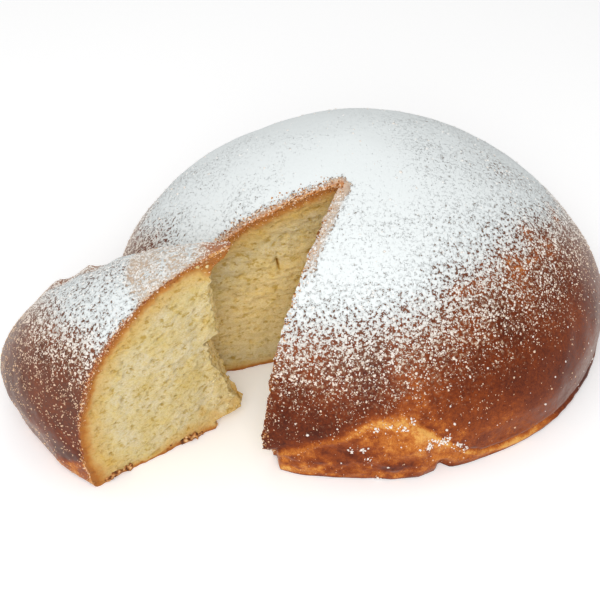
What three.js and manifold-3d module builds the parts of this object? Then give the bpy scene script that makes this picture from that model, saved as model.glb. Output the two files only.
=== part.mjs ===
// Sweet brioche loaf: a round, domed loaf about 25 cm across, with one wedge cut, torn loose at its tip
// and swung out to the left. The wedge still hangs on the loaf by a torn strip of crust and crumb, so
// the bread is one solid. Millimetres, +Z up, +X to the right, the cut faces the viewer at -Y.

import * as THREE from 'three';
import { mergeVertices } from 'three/addons/utils/BufferGeometryUtils.js';
import Module from 'manifold-3d';

const wasm = await Module();
wasm.setup();

// The loaf. Azimuths run in degrees from the front, -Y, towards the left, -X.
const LOAF_RADIUS = 120;
const LOAF_HEIGHT = 109;
const WIDEST_HEIGHT = 18;
const FOOT_RADIUS = 119;
const FOOT_ROUNDNESS = 3;
const SHOULDER = 1.72;
const PLAN_FRONT = 0.045;
const PLAN_LEFT = -0.034;
const PLAN_OVAL = -0.05;
const UNEVEN = 0.9;

// Where the middle of the loaf's foot lies in the part's frame.
const LOAF_PLACE = [20.7, 8.35];

// The cut: two upright faces that meet a little in front of the middle.
const CUT_TIP = [-4.8, -32];
const RIGHT_FACE = 23.3;
const LEFT_FACE = 73.2;

// The wedge, drawn out and turned, its two faces given by the same azimuths.
const WEDGE_TIP = [-45.3, -74.4];
const WEDGE_NEAR = 54.8;
const WEDGE_FAR = 104.7;
const WEDGE_HEIGHT = 104;
const WEDGE_REACH_NEAR = 89.4;
const WEDGE_REACH_FAR = 131;
const WEDGE_BULGE = 5;
const WEDGE_SHOULDER_NEAR = 2.2;
const WEDGE_SHOULDER_FAR = 1.5;
const WEDGE_WIDEST_NEAR = 23;
const WEDGE_WIDEST_FAR = 18;
const WEDGE_FOOT_INSET = 3;
const WEDGE_UNDERCUT = 9;

// How coarse the relief of the torn crumb is.
const CRUMB_CELL = 6.5;
const CRUMB_DEPTH = 0.9;

const crustMaterial = new THREE.MeshStandardMaterial({ color: 0x9a5a2c, roughness: 0.55, metalness: 0 });

const radians = THREE.MathUtils.degToRad;
const mix = THREE.MathUtils.lerp;
const ramp = THREE.MathUtils.smoothstep;

function heading(azimuth) {
  return [-Math.sin(radians(azimuth)), -Math.cos(radians(azimuth))];
}

// A repeatable number from -1 to 1 for three whole numbers.
function chance(i, j, seed) {
  const wave = Math.sin(i * 127.1 + j * 311.7 + seed * 74.7) * 43758.5453;
  return 2 * (wave - Math.floor(wave)) - 1;
}

// A closed skin over rings of points. The first ring is closed by a fan round `under`, the last round `over`.
function ringSolid(rings, under, over) {
  const count = rings[0].length;
  const points = rings.flat();
  const faces = [];
  const underIndex = points.length;
  const overIndex = underIndex + 1;
  points.push(under, over);
  for (let level = 0; level < rings.length - 1; level++) {
    for (let step = 0; step < count; step++) {
      const next = (step + 1) % count;
      const a = level * count + step;
      const b = level * count + next;
      const c = a + count;
      const d = b + count;
      faces.push(a, b, d, a, d, c);
    }
  }
  const last = (rings.length - 1) * count;
  for (let step = 0; step < count; step++) {
    const next = (step + 1) % count;
    faces.push(underIndex, next, step);
    faces.push(overIndex, last + step, last + next);
  }
  const geometry = new THREE.BufferGeometry();
  geometry.setAttribute('position', new THREE.Float32BufferAttribute(points.flat(), 3));
  geometry.setIndex(faces);
  return geometry;
}

function toSolid(geometry) {
  const merged = mergeVertices(geometry, 1e-4);
  return new wasm.Manifold(new wasm.Mesh({
    numProp: 3,
    vertProperties: new Float32Array(merged.attributes.position.array),
    triVerts: new Uint32Array(merged.index.array),
  }));
}

// The height and the share of the full radius at one step of a loaf's outline, from foot to top.
function outline(step, widest, height, footShare, shoulder) {
  if (step < 0) {
    const turn = (1 + step) * Math.PI / 2;
    const share = footShare + (1 - footShare) * Math.sin(turn) ** (2 / FOOT_ROUNDNESS);
    return [share, widest * (1 - Math.cos(turn) ** (2 / FOOT_ROUNDNESS))];
  }
  const turn = step * Math.PI / 2;
  const rise = Math.sin(turn) ** (2 / shoulder);
  return [Math.cos(turn) ** (2 / shoulder), widest + (height - widest) * rise];
}

function planShare(azimuth) {
  const turn = radians(azimuth);
  return 1 + PLAN_FRONT * Math.cos(turn) + PLAN_LEFT * Math.sin(turn) + PLAN_OVAL * Math.cos(2 * turn);
}

// The slow swells of the risen dough.
function swell(x, y, z) {
  return UNEVEN * (Math.sin(x / 31 - 1.1) * Math.cos(y / 37 - 1.2) + 0.5 * Math.sin((x + y) / 17 + z / 21));
}

// The pale foot of the front: the brown crust ends at a torn seam and the foot below lies further in.
const FOOT_SEAM = [[40, 6], [24, 8], [8, 14], [-10, 30], [-16, 32], [-20, 7], [-60, 5], [-110, 4]];
const FOOT_DEPTH = 1.2;
const FOOT_CORNER_DEPTH = 3.8;

function seamHeight(azimuth) {
  for (let i = 1; i < FOOT_SEAM.length; i++) {
    const [from, low] = FOOT_SEAM[i - 1];
    const [to, high] = FOOT_SEAM[i];
    if (azimuth <= from && azimuth >= to) {
      return mix(low, high, (from - azimuth) / (from - to));
    }
  }
  return 4;
}

function footRecess(azimuth, height) {
  const front = ramp(azimuth, -120, -60) * (1 - ramp(azimuth, 60, 100));
  const depth = FOOT_DEPTH + FOOT_CORNER_DEPTH * ramp(azimuth, 0, 23);
  return depth * front * (1 - ramp(height, seamHeight(azimuth) - 1.5, seamHeight(azimuth) + 1.5));
}

const LOAF_STEPS = 96;
const FOOT_ROWS = 7;
const DOME_ROWS = 19;

function loafDome() {
  const rings = [];
  for (let row = -FOOT_ROWS; row < DOME_ROWS; row++) {
    const step = row < 0 ? row / FOOT_ROWS : row / DOME_ROWS;
    const [share, height] = outline(step, WIDEST_HEIGHT, LOAF_HEIGHT, FOOT_RADIUS / LOAF_RADIUS, SHOULDER);
    const ring = [];
    for (let i = 0; i < LOAF_STEPS; i++) {
      const azimuth = 180 - 360 * (i + 0.5) / LOAF_STEPS;
      const [dx, dy] = heading(azimuth);
      let reach = LOAF_RADIUS * planShare(azimuth) * share;
      reach += swell(dx * reach, dy * reach, height) * Math.min(1, height / 10);
      reach -= footRecess(azimuth, height);
      ring.push([dx * reach, dy * reach, height]);
    }
    rings.push(ring);
  }
  return toSolid(ringSolid(rings, [0, 0, 0], [0, 0, LOAF_HEIGHT]));
}

// The crumb's relief on an upright face, `along` it and up it: pores and torn fibres.
function crumbRelief(along, height, seed) {
  const column = Math.round(along / CRUMB_CELL);
  const row = Math.round(height / CRUMB_CELL);
  return CRUMB_DEPTH * chance(column, row, seed) + 0.9 * Math.sin(along / 19 + seed) * Math.cos(height / 23);
}

// A tool whose two upright, rough faces leave `tip` at the azimuths `right` and `left`.
function sectorTool(tip, right, left, reach, seed) {
  const floor = -12;
  const ceiling = 132;
  const columns = Math.round(reach / CRUMB_CELL);
  const levels = Math.round((ceiling - floor) / CRUMB_CELL);
  const rings = [];
  for (let level = 0; level <= levels; level++) {
    const height = mix(floor, ceiling, level / levels);
    const smooth = level === 0 || level === levels ? 0 : 1;
    const ring = [];
    for (let column = -columns; column <= columns; column++) {
      const [dx, dy] = heading(column < 0 ? right : left);
      const side = column < 0 ? 1 : -1;
      const along = Math.abs(column) * reach / columns;
      const near = smooth * Math.min(1, along / 15) * crumbRelief(along, height, seed + side);
      ring.push([tip[0] + dx * along - side * dy * near, tip[1] + dy * along + side * dx * near, height]);
    }
    rings.push(ring);
  }
  const [mx, my] = heading((right + left) / 2);
  const inside = [tip[0] + mx * reach / 2, tip[1] + my * reach / 2];
  return toSolid(ringSolid(rings, [...inside, floor], [...inside, ceiling]));
}

// One point of the wedge's crust. `across` runs from 0 at its near face to 1 at its far face.
function wedgeCrust(across, step) {
  const widest = mix(WEDGE_WIDEST_NEAR, WEDGE_WIDEST_FAR, across);
  const shoulder = mix(WEDGE_SHOULDER_NEAR, WEDGE_SHOULDER_FAR, across);
  const bulge = WEDGE_BULGE * Math.sin(Math.PI * across ** 1.5);
  const reach = mix(WEDGE_REACH_NEAR, WEDGE_REACH_FAR, across) + bulge;
  const undercut = WEDGE_UNDERCUT * Math.sin(Math.PI * across);
  const footShare = 1 - (WEDGE_FOOT_INSET + undercut) / reach;
  const [share, height] = outline(step, widest, WEDGE_HEIGHT, footShare, shoulder);
  return [reach * share, height];
}

const WEDGE_ARC_STEPS = 20;
const WEDGE_FACE_STEPS = 19;

function wedgeBlock() {
  const rings = [];
  for (let row = -FOOT_ROWS; row < DOME_ROWS; row++) {
    const step = row < 0 ? row / FOOT_ROWS : row / DOME_ROWS;
    const ring = [];
    for (let i = 0; i <= WEDGE_ARC_STEPS; i++) {
      const across = i / WEDGE_ARC_STEPS;
      const [reach, height] = wedgeCrust(across, step);
      const [dx, dy] = heading(mix(WEDGE_NEAR, WEDGE_FAR, across));
      ring.push([WEDGE_TIP[0] + dx * reach, WEDGE_TIP[1] + dy * reach, height]);
    }
    for (let i = 1; i < 2 * WEDGE_FACE_STEPS; i++) {
      const onFar = i <= WEDGE_FACE_STEPS;
      const [reach, height] = wedgeCrust(onFar ? 1 : 0, step);
      const share = Math.abs(i - WEDGE_FACE_STEPS) / WEDGE_FACE_STEPS;
      const along = share * reach;
      const side = onFar ? -1 : 1;
      const edge = Math.min(1, along / 15) * (row === -FOOT_ROWS ? 0 : 1);
      const relief = edge * crumbRelief(along, height, 7 + side);
      const [dx, dy] = heading(onFar ? WEDGE_FAR : WEDGE_NEAR);
      const x = WEDGE_TIP[0] + dx * along + side * dy * relief;
      const y = WEDGE_TIP[1] + dy * along - side * dx * relief;
      ring.push([x, y, height]);
    }
    rings.push(ring.reverse());
  }
  const [mx, my] = heading((WEDGE_NEAR + WEDGE_FAR) / 2);
  const under = [WEDGE_TIP[0] + mx * 50, WEDGE_TIP[1] + my * 50, 0];
  return toSolid(ringSolid(rings, under, [WEDGE_TIP[0] + mx, WEDGE_TIP[1] + my, WEDGE_HEIGHT]));
}

// The wedge's inner end is torn off: how far from the tip the tear lies at each height.
const TEAR = [[-12, 22], [0, 22], [7.5, 18], [9.5, 9], [14, 9], [28, 14], [38, 16], [56, 21], [77, 13], [101, 8], [132, 7]];
const TEAR_CELL = 4.5;
const TEAR_DEPTH = 1.8;

function tearReach(height) {
  for (let i = 1; i < TEAR.length; i++) {
    const [low, from] = TEAR[i - 1];
    const [high, to] = TEAR[i];
    if (height <= high) {
      return mix(from, to, (height - low) / (high - low));
    }
  }
  return TEAR.at(-1)[1];
}

function tearTool() {
  const floor = TEAR[0][0];
  const ceiling = TEAR.at(-1)[0];
  const half = 40;
  const back = -40;
  const [mx, my] = heading((WEDGE_NEAR + WEDGE_FAR) / 2);
  const columns = Math.round(2 * half / TEAR_CELL);
  const levels = Math.round((ceiling - floor) / TEAR_CELL) * 2;
  const place = (out, side, height) => [
    WEDGE_TIP[0] + mx * out - my * side,
    WEDGE_TIP[1] + my * out + mx * side,
    height,
  ];
  const rings = [];
  for (let level = 0; level <= levels; level++) {
    const height = mix(floor, ceiling, level / levels);
    const smooth = level === 0 || level === levels ? 0 : 1;
    const ring = [];
    for (let column = 0; column <= columns; column++) {
      const side = mix(-half, half, column / columns);
      const rough = smooth * TEAR_DEPTH * chance(column, Math.floor(level / 2), 31);
      ring.push(place(tearReach(height) + rough, side, height));
    }
    ring.push(place(back, half, height), place(back, -half, height));
    rings.push(ring);
  }
  return toSolid(ringSolid(rings, place(-10, 0, floor), place(-10, 0, ceiling)));
}

// The strip that still holds the wedge: the loaf's own bread between its left face and the wedge.
const STRIP_START = 86;

function strip(dome) {
  const [dx, dy] = heading(LEFT_FACE);
  const inner = [CUT_TIP[0] + dx * STRIP_START, CUT_TIP[1] + dy * STRIP_START];
  const shape = new THREE.Shape([
    new THREE.Vector2(inner[0] + 4, inner[1] + 12),
    new THREE.Vector2(inner[0] - 6, inner[1] + 14),
    new THREE.Vector2(inner[0] - 40, inner[1] + 4),
    new THREE.Vector2(inner[0] - 40, inner[1] - 12),
    new THREE.Vector2(inner[0] + 2, inner[1] - 12),
    new THREE.Vector2(inner[0] + 5, inner[1] - 4),
  ]);
  const block = new THREE.ExtrudeGeometry(shape, { depth: 140, bevelEnabled: false, steps: 1 });
  block.deleteAttribute('normal');
  block.deleteAttribute('uv');
  return toSolid(block).intersect(dome);
}

function backToGeometry(solid) {
  const mesh = solid.getMesh();
  const geometry = new THREE.BufferGeometry();
  geometry.setAttribute('position', new THREE.Float32BufferAttribute(mesh.vertProperties, 3));
  geometry.setIndex(new THREE.BufferAttribute(new Uint32Array(mesh.triVerts), 1));
  return geometry;
}

const dome = loafDome();
const cutLoaf = dome.subtract(sectorTool(CUT_TIP, RIGHT_FACE, LEFT_FACE, 180, 3));
const wedge = wedgeBlock().subtract(tearTool());
const bread = cutLoaf.add(wedge).add(strip(dome));

// The origin is the middle of the bread's footprint box, on the surface it stands on.
const loaf = backToGeometry(bread);
loaf.translate(LOAF_PLACE[0], LOAF_PLACE[1], 0);

const group = new THREE.Group();
const loafMesh = new THREE.Mesh(loaf, crustMaterial);
loafMesh.name = 'loaf';
group.add(loafMesh);

export default group;
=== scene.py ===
# %% [markdown]
# # A sweet brioche loaf, cut open
#
# The bread is a round loaf of rich, sweet dough, about 25 cm across. It is baked brown and dusted with
# icing sugar. One wedge has been cut, torn loose at its tip and swung out to the left, where it still
# hangs on by a strip of bread.
#
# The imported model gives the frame: where the bread lies and how large it is. Here it gets the surface
# that a few thousand flat faces can't show: pores, torn crumb, a browned crust and powdery sugar.

# %% Load the frame
import math

import bpy
import numpy as np
from mathutils import Matrix, Vector, noise


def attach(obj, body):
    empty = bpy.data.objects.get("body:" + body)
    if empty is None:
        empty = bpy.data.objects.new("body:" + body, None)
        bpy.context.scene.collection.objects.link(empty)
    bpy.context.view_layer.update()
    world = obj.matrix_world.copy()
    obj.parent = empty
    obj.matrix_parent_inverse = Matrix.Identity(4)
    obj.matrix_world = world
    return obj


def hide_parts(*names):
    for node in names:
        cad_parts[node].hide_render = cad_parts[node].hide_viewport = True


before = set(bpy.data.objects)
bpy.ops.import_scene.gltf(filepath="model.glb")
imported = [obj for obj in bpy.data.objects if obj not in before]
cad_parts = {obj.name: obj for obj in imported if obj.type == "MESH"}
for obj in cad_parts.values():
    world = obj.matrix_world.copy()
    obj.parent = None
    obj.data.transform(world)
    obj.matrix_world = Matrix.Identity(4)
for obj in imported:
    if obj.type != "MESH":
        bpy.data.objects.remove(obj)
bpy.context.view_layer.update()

MM = 0.001

# %% [markdown]
# ## The sizes that drive everything
#
# A baker would give this loaf by its width, its height and how square its shoulders are. The same few
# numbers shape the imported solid, so the surface made here lies where that solid is. Directions on the
# loaf are azimuths in degrees from the front, towards the left. Sizes are in millimetres, and the tips of
# the cut and of the wedge are given from the loaf's middle.

# %% Driving sizes
LOAF_PLACE = np.array([20.7, 8.35])
LOAF_RADIUS = 120.0
LOAF_HEIGHT = 109.0
WIDEST_HEIGHT = 18.0
FOOT_RADIUS = 119.0
FOOT_ROUNDNESS = 3.0
SHOULDER = 1.72
CUT_TIP = LOAF_PLACE + [-4.8, -32.0]
RIGHT_FACE = 23.3
LEFT_FACE = 73.2
WEDGE_TIP = LOAF_PLACE + [-45.3, -74.4]
WEDGE_NEAR = 54.8
WEDGE_FAR = 104.7
WEDGE_HEIGHT = 104.0
print("the cut is", round(LEFT_FACE - RIGHT_FACE, 1), "degrees wide")

# %% [markdown]
# ## Small helpers
#
# Most steps select everything, run an operator and go back to object mode. A piece's vertices can also
# be laid by a rule: numpy reads them all at once, the rule says where each goes, and they are written
# back. That is how a flat sheet becomes a loaf without pulling at it by hand.

# %% Helpers for pieces
def select_only(piece):
    if bpy.context.mode != "OBJECT":
        bpy.ops.object.mode_set(mode="OBJECT")
    bpy.ops.object.select_all(action="DESELECT")
    piece.select_set(True)
    bpy.context.view_layer.objects.active = piece


def edit_all(piece):
    select_only(piece)
    bpy.ops.object.mode_set(mode="EDIT")
    bpy.ops.mesh.select_all(action="SELECT")


def end_edit():
    bpy.ops.object.mode_set(mode="OBJECT")


def places(piece):
    flat = np.empty(len(piece.data.vertices) * 3)
    piece.data.vertices.foreach_get("co", flat)
    return flat.reshape(-1, 3)


def lay(piece, points):
    piece.data.vertices.foreach_set("co", np.ascontiguousarray(points).ravel())
    piece.data.update()


def triangles(piece):
    return sum(len(face.vertices) - 2 for face in piece.data.polygons)


# %% [markdown]
# The rules are built from a few small shapes. A ramp goes smoothly from 0 at its start to 1 at its end, a
# bell is 1 in its middle, and rough is noise of a given size, with a seed. A heading is the flat direction
# of an azimuth, and seen_from gives places and azimuths as they are seen from a middle.

# %% Helpers for rules
def heading(azimuth):
    turn = np.radians(azimuth)
    return np.stack([-np.sin(turn), -np.cos(turn)], axis=-1)


def seen_from(points, middle):
    local = points - np.append(middle, 0)
    return local, np.degrees(np.arctan2(-local[:, 0], -local[:, 1]))


def ramp(value, start, end):
    share = np.clip((value - start) / (end - start), 0.0, 1.0)
    return share * share * (3.0 - 2.0 * share)


def bell(value, middle, width):
    return np.exp(-0.5 * ((value - middle) / width) ** 2)


def rough(points, scale, seed):
    offset = Vector((seed * 17.3, seed * 5.1, seed * 9.7))
    return np.array([noise.noise(Vector(p) / scale + offset) for p in points])


# %% [markdown]
# ## The loaf's outline
#
# Risen dough baked on a flat tray is widest a little above the tray and rounds over to a soft top. Two
# quarters of a superellipse describe that: a short one for the foot and a tall one for the dome. The
# plan is a circle pressed slightly out of round, and slow swells keep it from looking turned on a lathe.

# %% The outline as a rule
def outline(step, widest, height, foot_share, shoulder):
    foot = np.clip(1.0 + step, 0.0, 1.0) * np.pi / 2
    dome = np.clip(step, 0.0, 1.0) * np.pi / 2
    low = np.clip(np.cos(foot), 0.0, 1.0) ** (2 / FOOT_ROUNDNESS)
    low_share = foot_share + (1 - foot_share) * np.sin(foot) ** (2 / FOOT_ROUNDNESS)
    high_share = np.clip(np.cos(dome), 0.0, 1.0) ** (2 / shoulder)
    high = widest + (height - widest) * np.sin(dome) ** (2 / shoulder)
    under = step < 0
    return np.where(under, low_share, high_share), np.where(under, widest * (1 - low), high)


def plan_share(azimuth):
    turn = np.radians(azimuth)
    return 1 + 0.045 * np.cos(turn) - 0.034 * np.sin(turn) - 0.05 * np.cos(2 * turn)


def swell(x, y, z):
    slow = np.sin(x / 31 - 1.1) * np.cos(y / 37 - 1.2)
    return 0.9 * (slow + 0.5 * np.sin((x + y) / 17 + z / 21))


print("the loaf reaches", round(LOAF_RADIUS * plan_share(0)), "mm to the front")

# %% [markdown]
# ## The torn seam at the foot
#
# While the crust was already set, the dough kept rising and tore it open low at the front. The height
# of the seam is given at a few azimuths. How far the paler foot under it steps in or bulges out is given
# the same way, with a small notch in its lower edge and a fold that follows the seam.

# %% The seam as a rule
SEAM_AZIMUTHS = [-110, -60, -40, -30, -26, -22, -18, -14, -11, -7, -3, 1, 7, 18, 24, 40]
SEAM_HEIGHTS = [4, 5, 5, 6.5, 11, 19, 27, 34, 36, 36, 33.5, 29.7, 24, 11.5, 9, 7]


def seam_height(azimuth):
    return np.interp(azimuth, SEAM_AZIMUTHS, SEAM_HEIGHTS)


def front_share(azimuth):
    return ramp(azimuth, -120, -60) * (1 - ramp(azimuth, 60, 100))


FOOT_AZIMUTHS = [-60, -46, -30, -18, -15, -9, -5, 6, 11, 16, 17.8]
FOOT_DEPTHS = [0.4, -0.4, 0.8, 0.4, -1.2, -1.2, 0.2, 0.2, -0.8, 0, 7.5]


def foot_recess(azimuth, height):
    seam = seam_height(azimuth)
    depth = np.interp(azimuth, FOOT_AZIMUTHS, FOOT_DEPTHS)
    step_in = depth * (1 - ramp(height, seam - 1.2, seam + 1.2))
    crease = 0.7 * np.exp(-((height - seam) / 1.3) ** 2)
    fold = 0.7 * bell(height - seam, -2.4, 0.9)
    notch = 4.4 * bell(azimuth, -20.8, 0.9) * ramp(height, 9, 4)
    return front_share(azimuth) * (step_in + crease - fold + notch)


FOOT_NOISE_LAYER = 9.0


def foot_lumps(azimuth, height):
    round_the_foot = 0.7 * LOAF_RADIUS * np.radians(azimuth)
    spots = np.column_stack([round_the_foot, height, np.full(len(height), FOOT_NOISE_LAYER)])
    lumps = rough(spots, 7, 8) + 0.6 * rough(spots, 2.8, 9)
    return lumps * ramp(height - seam_height(azimuth), 0.5, -1.5) * front_share(azimuth)


print("the seam rises to", max(SEAM_HEIGHTS), "mm")

# %% [markdown]
# ## Raising a dome
#
# A dome could start as a sphere, but a fine sphere takes Blender half a minute to add. A flat grid of the
# same fineness takes a moment. Its columns stand for azimuths and its rows for steps up the outline, so
# laying its vertices by the rule rolls the sheet into a dome. The seam and the pole are then merged, and
# the open ring at the bottom is filled and poked into a fan of triangles.

# %% A sheet to roll into a dome
FOOT_PART = 0.24
WELD = 1e-5


def fine_sheet(name, columns, rows):
    bpy.ops.object.select_all(action="DESELECT")
    bpy.ops.mesh.primitive_grid_add(x_subdivisions=columns, y_subdivisions=rows, size=2)
    sheet = bpy.context.object
    sheet.name = name
    return sheet


def rolled(piece, skin):
    lay(piece, skin * MM)
    edit_all(piece)
    bpy.ops.mesh.remove_doubles(threshold=WELD)
    bpy.ops.mesh.select_all(action="DESELECT")
    bpy.ops.mesh.select_non_manifold()
    bpy.ops.mesh.edge_face_add()
    bpy.ops.mesh.poke()
    bpy.ops.mesh.select_all(action="SELECT")
    bpy.ops.mesh.normals_make_consistent(inside=False)
    end_edit()
    print("the uncut", piece.name, "has", triangles(piece), "triangles")


def card_of(piece):
    card = places(piece)
    rise = (card[:, 1] + 1) / 2
    step = np.where(rise < FOOT_PART, rise / FOOT_PART - 1, (rise - FOOT_PART) / (1 - FOOT_PART))
    return 180 * card[:, 0], step


# %% [markdown]
# ## The uncut loaf
#
# The sheet takes the loaf's outline, plan and swells, and its shoulders are a little slimmer behind. Two
# layers of noise add the shallow dimples that a baked skin has. They die away at the very top, where all
# columns meet in one point. Every rule has to fade out or agree at the sheet's seam, at the very back,
# because only then do the two edges weld.

# %% The uncut loaf
def slimmer(azimuth, height):
    right_back = 2.6 * bell(azimuth, -102, 20)
    left_back = 1.8 * bell(azimuth, 132, 18)
    return (right_back + left_back) * ramp(height, 25, 60) * ramp(np.abs(azimuth), 180, 160)


def loaf_skin(azimuth, step):
    share, height = outline(step, WIDEST_HEIGHT, LOAF_HEIGHT, FOOT_RADIUS / LOAF_RADIUS, SHOULDER)
    calm = np.minimum(1, share * 8)
    reach = LOAF_RADIUS * plan_share(azimuth) * share
    flat = heading(azimuth) * reach[:, None]
    skin = np.column_stack([flat, height])
    reach = reach + calm * swell(flat[:, 0], flat[:, 1], height) * np.minimum(1, height / 10)
    reach = reach - calm * (foot_recess(azimuth, height) + slimmer(azimuth, height))
    reach = reach + 0.8 * foot_lumps(azimuth, height) * np.minimum(1, height / 3)
    reach = reach + calm * (0.45 * rough(skin, 13, 1) + 0.16 * rough(skin, 4, 2))
    return np.column_stack([heading(azimuth) * reach[:, None] + LOAF_PLACE, height])


loaf = fine_sheet("loaf_bread", columns=480, rows=130)
rolled(loaf, loaf_skin(*card_of(loaf)))

# %% [markdown]
# ## The uncut wedge
#
# The wedge was part of the same loaf, but it has sagged and turned since it was cut. Its crust is laid
# round its own tip: short and square-shouldered at the near face, long and sloping at the far face. The
# far face's top rim is bumpy, so its sag is given at several distances from the tip, and the foot there
# is tucked in. Most of the sheet's columns go to those fifty degrees, because the rest is cut away.

# %% The uncut wedge
WEDGE_MIDDLE = (WEDGE_NEAR + WEDGE_FAR) / 2
WEDGE_HALF = (WEDGE_FAR - WEDGE_NEAR) / 2
WEDGE_REACH_NEAR = 89.4
WEDGE_REACH_FAR = 131.0
CROWDED_COLUMNS = 135.0
CROWDED_TURN = 27.0


def wedge_across(azimuth):
    turn = (azimuth - WEDGE_MIDDLE + 180) % 360 - 180
    beyond = np.clip((np.abs(turn) - WEDGE_HALF) / (180 - WEDGE_HALF), 0, 1)
    inside = np.minimum(np.abs(turn) / WEDGE_HALF, 1)
    return 0.5 + 0.5 * np.sign(turn) * inside * np.cos(beyond * np.pi / 2)


def wedge_outline(across):
    reach = WEDGE_REACH_NEAR + (WEDGE_REACH_FAR - WEDGE_REACH_NEAR) * across
    reach = reach + 5 * np.sin(np.pi * across ** 1.5)
    widest = 23 - 5 * across
    shoulder = 2.2 - 0.7 * across
    foot_share = 1 - (3 + 9 * np.sin(np.pi * across)) / reach
    return reach, widest, shoulder, foot_share


SAG_REACHES = [40, 58, 62, 66, 69, 74.5, 78, 81.5, 85.5, 89.5, 92.5, 96, 99, 105, 111, 122]
SAG_DEPTHS = [2.1, 2.3, 1.9, 3, 4.1, 3.2, 0.6, 1.6, 2.7, 3.1, 2, 0.5, 1, 2.4, 4.5, 4.4]


def wedge_sag(azimuth, reach, height):
    sag = np.interp(reach, SAG_REACHES, SAG_DEPTHS) * np.clip(height / 30, 0, 1)
    return sag * ramp(azimuth, 90, 103) * ramp(azimuth, 180, 140)


def wedge_tuck(azimuth, height):
    return 3.4 * ramp(height, 28, 12) * ramp(azimuth, 62, 76) * ramp(azimuth, 180, 140)


def wedge_skin(column, step):
    beyond = (np.abs(column) - CROWDED_COLUMNS) / (180 - CROWDED_COLUMNS)
    sparse = np.sign(column) * (CROWDED_TURN + beyond * (180 - CROWDED_TURN))
    crowded = column * CROWDED_TURN / CROWDED_COLUMNS
    azimuth = WEDGE_MIDDLE + np.where(beyond < 0, crowded, sparse)
    reach, widest, shoulder, foot_share = wedge_outline(wedge_across(azimuth))
    share, height = outline(step, widest, WEDGE_HEIGHT, foot_share, shoulder)
    skin = np.column_stack([heading(azimuth) * (reach * share)[:, None], height])
    calm = np.minimum(1, share * 8) * np.minimum(1, height / 10)
    reach = reach * share + calm * (0.6 * rough(skin, 13, 5) + 0.2 * rough(skin, 4, 6))
    reach = reach - wedge_tuck(azimuth, height)
    height = height - wedge_sag(azimuth, reach, height)
    return np.column_stack([WEDGE_TIP + heading(azimuth) * reach[:, None], height])


wedge = fine_sheet("wedge_bread", columns=320, rows=110)
rolled(wedge, wedge_skin(*card_of(wedge)))

# %% [markdown]
# ## What cut crumb looks like
#
# A knife through soft bread leaves a face that is flat only from afar. Close up it swells and dips, it
# has pores from one to four millimetres wide, and fine strands stand out between them. The rule below
# gives that relief at any place on a face: slow waves, lumps, strands that run mostly sideways, and
# pores, each a little bowl in a cell of a Voronoi pattern. One short crack lies in the loaf's left face.

# %% The crumb's relief as a rule
CUT_SEED = 3
WEDGE_SEED = 9
PORE_CELL = (4.6, 3.2)
SMALL_PORE_CELL = (2.1, 1.5)
DEEPEST_PORE = 1.5


def pore_depth(along, height, seed):
    near, cells = noise.voronoi(Vector((along / PORE_CELL[0], height / PORE_CELL[1], seed * 3.7)))
    wide = 0.1 + 0.3 * (0.5 + 0.5 * noise.noise(cells[0] * 3.1))
    small_place = Vector((along / SMALL_PORE_CELL[0], height / SMALL_PORE_CELL[1], seed * 5.3))
    small, cells = noise.voronoi(small_place)
    narrow = 0.36 * max(0.0, noise.noise(cells[0] * 2.3) + 0.15)
    return max(0.0, 1 - near[0] / wide, 0.7 - 0.7 * small[0] / max(narrow, 0.01))


CRACK_ALONG = 30.9
CRACK_HEIGHT = 64.5
CRACK_WIDTH = 0.55
CRACK_LENGTH = 3.0
CRACK_LEAN = 0.12
DEEPEST_CRACK = 1.5


def crack_depth(along, height):
    above = height - CRACK_HEIGHT
    aside = along - CRACK_ALONG - CRACK_LEAN * above
    return math.exp(-(aside / CRACK_WIDTH) ** 2 - (above / CRACK_LENGTH) ** 4)


def crack_depths(along, height):
    return np.array([crack_depth(a, h) for a, h in zip(along, height)])


def crumb_relief(along, height, seed):
    slow = noise.noise(Vector((along / 26, height / 21, seed)))
    lump = noise.noise(Vector((along / 8, height / 4.5, seed + 4)))
    strand = noise.noise(Vector((along / 3.4, height / 1.3, seed + 8)))
    pore = pore_depth(along, height, seed) ** 0.6
    return 1.3 * slow + 1.0 * lump + 0.65 * strand - DEEPEST_PORE * pore


beside_crack = crumb_relief(CRACK_ALONG, CRACK_HEIGHT, CUT_SEED)
print("the left face stands", round(beside_crack, 2), "mm proud beside the crack")

# %% [markdown]
# ## The tool that cuts a sector
#
# The cutting tool is a fine grid, folded upright along its middle like a greetings card and laid on the
# two faces of the cut. It carries the crumb's relief. Pulled out through the mouth of the cut, the sheet
# becomes a closed block. Taken away from the loaf it opens the cut, and kept in common with the wedge's
# dome it leaves the wedge. Either way its relief ends up on the bread.

# %% The folded tool
TOOL_FLOOR = -12.0
TOOL_CEILING = 132.0
EDGE_CALM = 12.0
PULL_SHARE = 1.3


def tool_height(share):
    return TOOL_FLOOR + share * (TOOL_CEILING - TOOL_FLOOR)


def pulled_out(sheet, pull):
    edit_all(sheet)
    way = (float(pull[0]) * MM, float(pull[1]) * MM, 0)
    bpy.ops.mesh.extrude_region_move(TRANSFORM_OT_translate={"value": way})
    bpy.ops.mesh.select_all(action="SELECT")
    bpy.ops.mesh.normals_make_consistent(inside=False)
    end_edit()


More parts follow.
